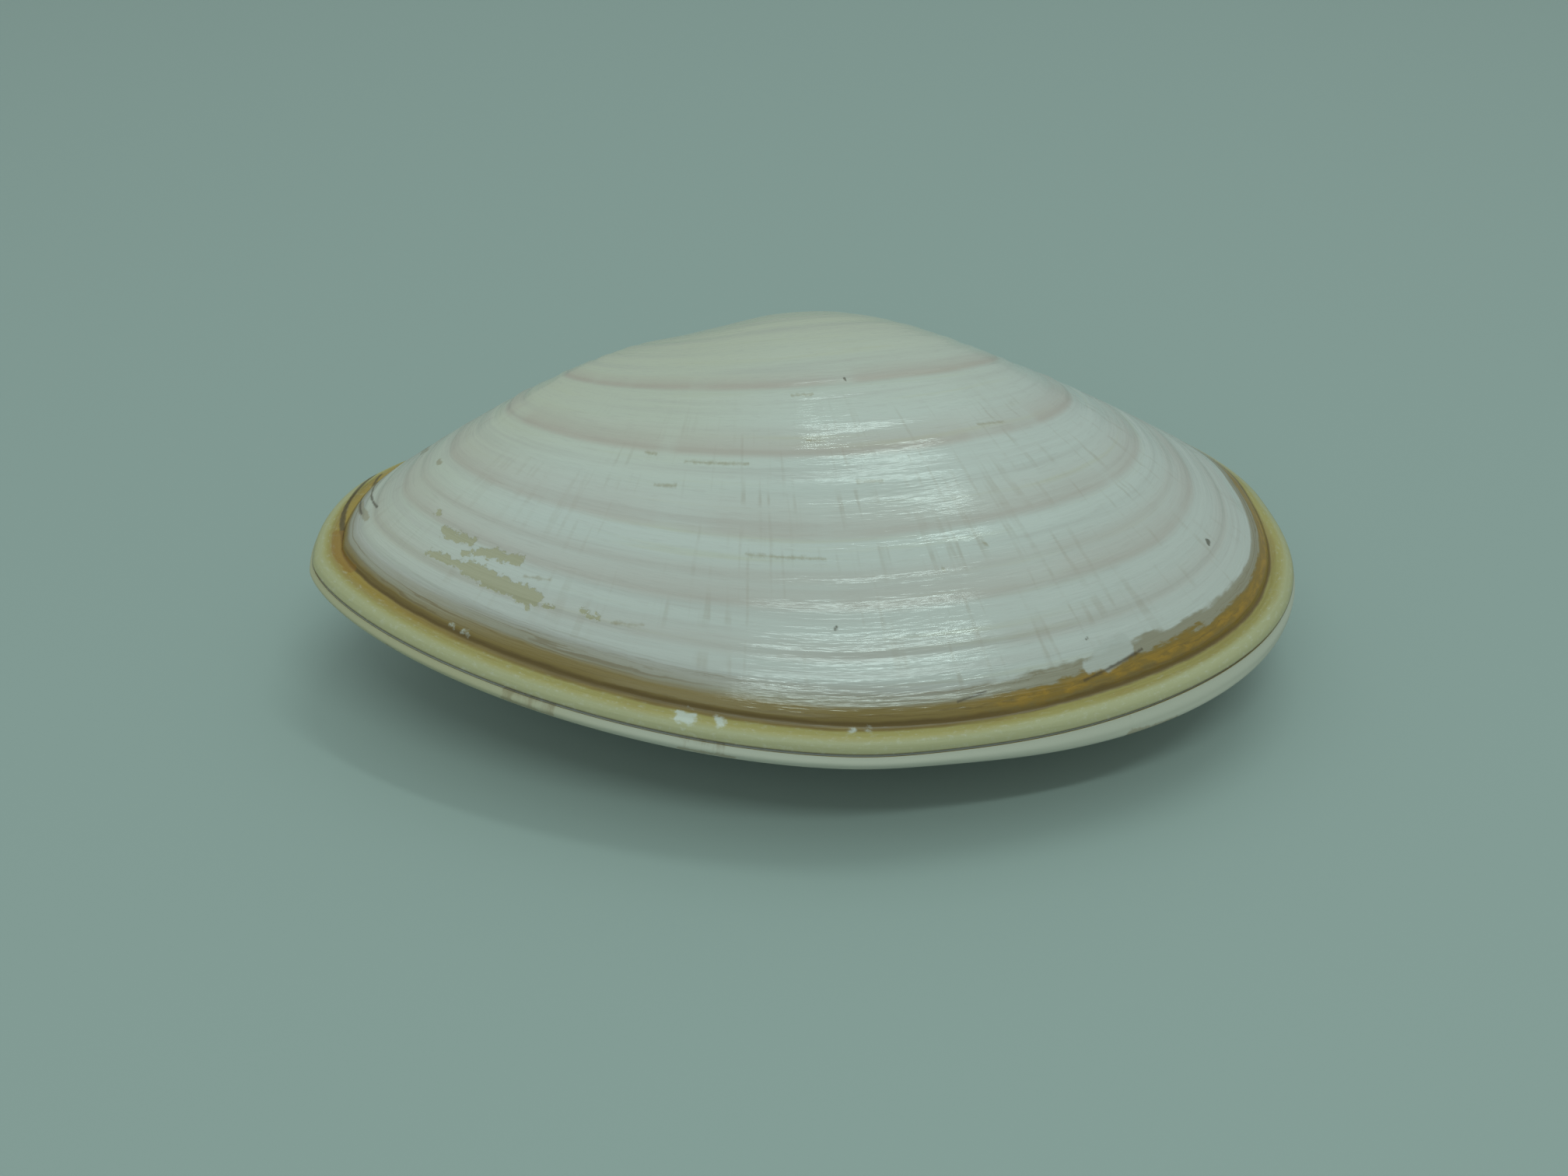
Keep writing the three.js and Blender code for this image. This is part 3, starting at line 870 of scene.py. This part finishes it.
def wandering_lip(group, given, anterior):
    """The place across the lip, wider at the anterior end, with uneven edges on the dome side."""
    way = given["Way"]
    spread = product(group, between(group, way, *SPREAD_WAYS), given["Spread"])
    lip = math_node(group, "DIVIDE", given["Lip"], total(group, spread, 1.0))
    inward = step_node(group, lip, *INWARD_LIP)
    crumbled = product(group, anterior, inward, step_node(group, way, *CRUMBLED_WAYS))
    ragged = total(group, scaled(group, crumbled, CRUMBLED_WANDER), LEAST_WANDER)
    wander = product(group, centred(group, stretched_noise(group, way, lip, BAND_WANDER), 1.0), ragged)
    streaky = product(group, centred(group, given["Tone"], TONE_WANDER), inward)
    shift = product(group, total(group, wander, streaky), step_node(group, lip, *WANDER_LIP))
    return total(group, lip, shift)


def band_colours(group, given, lip, ventral, anterior):
    """Bands of the posterior end, the ventral edge and the mottled anterior end, one into the next."""
    share = math_node(group, "DIVIDE", lip, LIP_SPAN)
    posterior_edge = colour_ramp(group, share, POSTERIOR_BANDS)
    ventral_edge = colour_ramp(group, share, VENTRAL_BANDS)
    mottle = stretched_noise(group, given["Way"], given["Lip"], OCHRE_MOTTLE)
    anterior_edge = mix_colours(group, step_node(group, mottle, *MOTTLE_STEP),
                                colour_ramp(group, share, ANTERIOR_BANDS),
                                colour_ramp(group, share, BRIGHT_ANTERIOR_BANDS))
    edge = mix_colours(group, ventral, posterior_edge, ventral_edge)
    return mix_colours(group, anterior, edge, anterior_edge)


def rim_details(group, given, lip, colour):
    """Stains and chalky grain on the rim, and dark lines in the groove."""
    way = given["Way"]
    stain = step_node(group, stretched_noise(group, way, given["Lip"], RIM_STAIN), *STAIN_STEP)
    lines = step_node(group, stretched_noise(group, way, lip, GROOVE_LINES), *GROOVE_LINE_STEP)
    grain = step_node(group, stretched_noise(group, way, lip, CHALKY_GRAIN), *GRAIN_STEP)
    layers = [  # mask, strength, colour
        (product(group, stain, between(group, lip, *STAIN_LIP)), 0.6, RIM_OCHRE),
        (product(group, lines, step_node(group, lip, *GROOVE_LINE_LIP)), 0.5, GROOVE_BROWN),
        (product(group, grain, step_node(group, lip, *GRAIN_LIP)), 0.6, STRIP_WHITE)]
    return layered(group, colour, layers)


def band_cover(group, way, lip, ventral, anterior):
    """How fully the bands hide the dome: they end softly, but sharply at the anterior end."""
    end = total(group, BAND_END, scaled(group, ventral, VENTRAL_END_SHIFT),
                scaled(group, anterior, ANTERIOR_END_SHIFT))
    softness = math_node(group, "SUBTRACT", BAND_SOFTNESS, scaled(group, anterior, ANTERIOR_SHARPNESS))
    inside = math_node(group, "DIVIDE", math_node(group, "SUBTRACT", end, lip), softness)
    open_edge = between(group, way, *COVER_WAYS)
    strength = total(group, scaled(group, open_edge, 1.0 - HINGE_COVER), HINGE_COVER)
    return product(group, step_node(group, inside, -1.0, 1.0), strength)


def margin_bands_group():
    """Colours from the commissure over the rolled rim and the groove to the white dome."""
    group, given, made = new_group(
        "margin_bands", {"Lip": FLOAT, "Way": FLOAT, "Tone": FLOAT, "Pale Rim": FLOAT, "Spread": FLOAT},
        {"Color": COLOUR, "Cover": FLOAT, "Rim": FLOAT})
    way = given["Way"]
    ventral = step_node(group, way, *VENTRAL_WAYS)
    anterior = between(group, way, *ANTERIOR_WAYS)
    lip = wandering_lip(group, given, anterior)
    colour = band_colours(group, given, lip, ventral, anterior)
    colour = rim_details(group, given, lip, colour)
    strip = mix_colours(group, step_node(group, way, *WHITE_STRIP_WAYS), STRIP_CREAM, STRIP_WHITE)
    pale = product(group, given["Pale Rim"], step_node(group, lip, *STRIP_LIP))
    group.links.new(mix_colours(group, pale, colour, strip), made["Color"])
    group.links.new(band_cover(group, way, lip, ventral, anterior), made["Cover"])
    group.links.new(step_node(group, lip, *RIM_LIP), made["Rim"])
    return group


def attribute(tree, name):
    node = tree.nodes.new("ShaderNodeAttribute")
    node.attribute_name = name
    return node.outputs["Fac"]


def new_material(name):
    material = bpy.data.materials.new(name)
    material.use_nodes = True
    tree = material.node_tree
    return material, tree, tree.nodes["Principled BSDF"]


def add_bump(tree, shader, height, distance, strength):
    bump = tree.nodes.new("ShaderNodeBump")
    bump.inputs["Strength"].default_value = strength
    bump.inputs["Distance"].default_value = distance
    link(tree, height, bump.inputs["Height"])
    link(tree, bump.outputs["Normal"], shader.inputs["Normal"])


def marks_mask(tree, mark, spot, kind, valve):
    """Where the valve's marks of one kind lie."""
    fray, softness, *_ = MARK_KINDS[kind]
    frayed = scaled(tree, spot["Fray"], fray)
    mask = 0.0
    for first_way, first_size, last_way, last_size, half_width in valve["marks"].get(kind, []):
        start = Vector((first_way * MARK_SCALE[0], first_size * MARK_SCALE[1], 0.0))
        end = Vector((last_way * MARK_SCALE[0], last_size * MARK_SCALE[1], 0.0))
        along = (end - start).normalized()
        across = Vector((-along.y, along.x, 0.0))
        middle = (start + end) / 2
        one = place_group(tree, mark, Place=spot["Place"], Along=along, Across=across,
                          Middle_Along=middle.dot(along), Middle_Across=middle.dot(across),
                          Half_Length=(end - start).length / 2, Half_Width=half_width, Fray=frayed,
                          Softness=softness)["Mask"]
        mask = math_node(tree, "MAXIMUM", mask, one)
    return mask


def painted(tree, colour, mask, kind):
    """The colour with one kind of mark over it."""
    *_, strength, tint = MARK_KINDS[kind]
    return mix_colours(tree, scaled(tree, mask, strength), colour, tint)


def shell_material(name, groups, valve):
    material, tree, shader = new_material(name)
    growth = attribute(tree, "growth")
    way = attribute(tree, "way")
    lip = attribute(tree, "lip")
    lines = place_group(tree, groups["lines"], Growth=growth, Way=way)
    streaks = place_group(tree, groups["streaks"], Growth=growth, Way=way)
    colour = place_group(tree, groups["dome"], Growth=growth, Way=way, Tone=lines["Tone"],
                         Fine=lines["Fine"], Streaks=streaks["Mask"])["Color"]
    for place, width, strength in valve["halt_bands"]:
        band = place_group(tree, groups["halt"], Growth=growth, Way=way, Place=place, Width=width)
        colour = mix_colours(tree, scaled(tree, band["Mask"], strength), colour, HALT_ROSE)
    bands = place_group(tree, groups["bands"], Lip=lip, Way=way, Tone=lines["Tone"],
                        Pale_Rim=valve["pale_rim"], Spread=valve["spread"])
    spot = place_group(tree, groups["spot"], Growth=growth, Way=way)
    mark = groups["mark"]
    flaked = marks_mask(tree, mark, spot, "flakes", valve)
    for kind in DOME_KINDS:
        colour = painted(tree, colour, marks_mask(tree, mark, spot, kind, valve), kind)
    colour = painted(tree, colour, flaked, "flakes")
    colour = mix_colours(tree, bands["Cover"], colour, bands["Color"])
    for kind in MARGIN_KINDS:
        colour = painted(tree, colour, marks_mask(tree, mark, spot, kind, valve), kind)
    link(tree, colour, shader.inputs["Base Color"])
    rough = step_node(tree, lines["Tone"], *ROUGH_TONES, "LINEAR")
    roughness = total(tree, scaled(tree, rough, TONE_ROUGHNESS), scaled(tree, bands["Rim"], RIM_ROUGHNESS),
                      LEAST_ROUGHNESS)
    link(tree, roughness, shader.inputs["Roughness"])
    height = math_node(tree, "SUBTRACT", lines["Height"], scaled(tree, flaked, FLAKE_DEPTH))
    add_bump(tree, shader, height, LINE_DEPTH, LINE_BUMP)
    return material


def ligament_material():
    material, tree, shader = new_material("horny_brown")
    coordinates = tree.nodes.new("ShaderNodeTexCoord")
    parts = tree.nodes.new("ShaderNodeSeparateXYZ")
    tree.links.new(coordinates.outputs["Object"], parts.inputs[0])
    stretched = [scaled(tree, value, scale) for value, scale in zip(parts.outputs, FIBRE_SCALES)]
    fibres = noise_node(tree, *stretched, FIBRE_DETAIL)
    colour = mix_colours(tree, step_node(tree, fibres, *FIBRE_STEP), LIGAMENT_DARK, LIGAMENT_BROWN)
    link(tree, colour, shader.inputs["Base Color"])
    roughness = total(tree, scaled(tree, fibres, FIBRE_ROUGHNESS), LIGAMENT_ROUGHNESS)
    link(tree, roughness, shader.inputs["Roughness"])
    add_bump(tree, shader, fibres, LINE_DEPTH, FIBRE_BUMP)
    return material


def floor_material():
    material, _, shader = new_material("pale_floor")
    shader.inputs["Base Color"].default_value = FLOOR_GREY
    shader.inputs["Roughness"].default_value = FLOOR_ROUGHNESS
    return material


def make_floor():
    half = FLOOR_HALF
    level = cad_box[0][2] - FLOOR_DROP
    corners = [(-half, -half, level), (half, -half, level), (half, half, level), (-half, half, level)]
    floor = mesh_piece("floor", np.array(corners), [(0, 1, 2, 3)], floor_material())


def make_camera():
    data = bpy.data.cameras.new("camera")
    data.lens = CAMERA_LENS
    data.sensor_width = SENSOR_WIDTH
    data.clip_start = NEAR_CLIP
    camera = bpy.data.objects.new("camera", data)
    bpy.context.collection.objects.link(camera)
    turn = Matrix.Rotation(CAMERA_YAW, 4, "Z") @ Matrix.Rotation(math.pi / 2 - CAMERA_PITCH, 4, "X")
    turn = turn @ Matrix.Rotation(CAMERA_ROLL, 4, "Z")
    camera.matrix_world = Matrix.Translation(CAMERA_PLACE) @ turn
    bpy.context.scene.camera = camera


def make_light(name, place, width, depth, power):
    """A soft rectangular light that faces the shell."""
    data = bpy.data.lights.new(name, "AREA")
    data.shape = "RECTANGLE"
    data.size = width
    data.size_y = depth
    data.energy = power
    data.color = LIGHT_TINT
    light = bpy.data.objects.new(name, data)
    light.location = place
    light.rotation_euler = (-Vector(place)).to_track_quat("-Z", "Y").to_euler()
    bpy.context.collection.objects.link(light)


def make_world():
    world = bpy.data.worlds.new("studio")
    world.use_nodes = True
    background = world.node_tree.nodes["Background"]
    background.inputs["Color"].default_value = (*LIGHT_TINT, 1.0)
    background.inputs["Strength"].default_value = WORLD_STRENGTH
    bpy.context.scene.world = world


def make_lights():
    make_world()
    for light in LIGHTS:
        make_light(*light)


# Each valve. A halt band has a size, a width in size and a strength
UPPER = {
    "side": 1, "coil": UPPER_COIL, "lip": UPPER_LIP, "groove": 0.04, "pale_rim": 0.0, "fullness": 0.0,
    "spread": ANTERIOR_SPREAD,
    "halt_bands": [(0.465, 0.035, 0.75), (0.592, 0.055, 0.75), (0.715, 0.07, 0.55), (0.775, 0.025, 0.3),
                   (0.812, 0.05, 0.55), (0.874, 0.03, 0.4)],
    "marks": UPPER_MARKS,
}
LOWER = {
    "side": -1, "coil": LOWER_COIL, "lip": LOWER_LIP, "groove": 0.048, "pale_rim": 1.0,
    "fullness": LOWER_FULLNESS, "spread": 0.0,
    "halt_bands": [(0.45, 0.04, 0.6), (0.60, 0.05, 0.6), (0.77, 0.05, 0.5), (0.86, 0.03, 0.4)],
    "marks": LOWER_MARKS,
}


def main():
    make_camera()
    groups = {
        "lines": growth_lines_group(),
        "halt": growth_halt_group(),
        "streaks": radial_streaks_group(),
        "dome": dome_colour_group(),
        "spot": mark_place_group(),
        "mark": mark_group(),
        "bands": margin_bands_group(),
    }
    place = frame_place()
    upper = make_valve("upper_shell", UPPER, shell_material("upper_shell", groups, UPPER), place)
    lower = make_valve("lower_shell", LOWER, shell_material("lower_shell", groups, LOWER), place)
    ligament = make_ligament(ligament_material(), place)
    for piece, node, slot in [(upper, "upper_valve", "shell"), (lower, "lower_valve", "shell"),
                              (ligament, "ligament", "ligament")]:
        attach(piece, "root")
        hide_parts(node)
    make_floor()
    make_lights()
    bpy.context.scene.view_settings.view_transform = "Standard"


main()
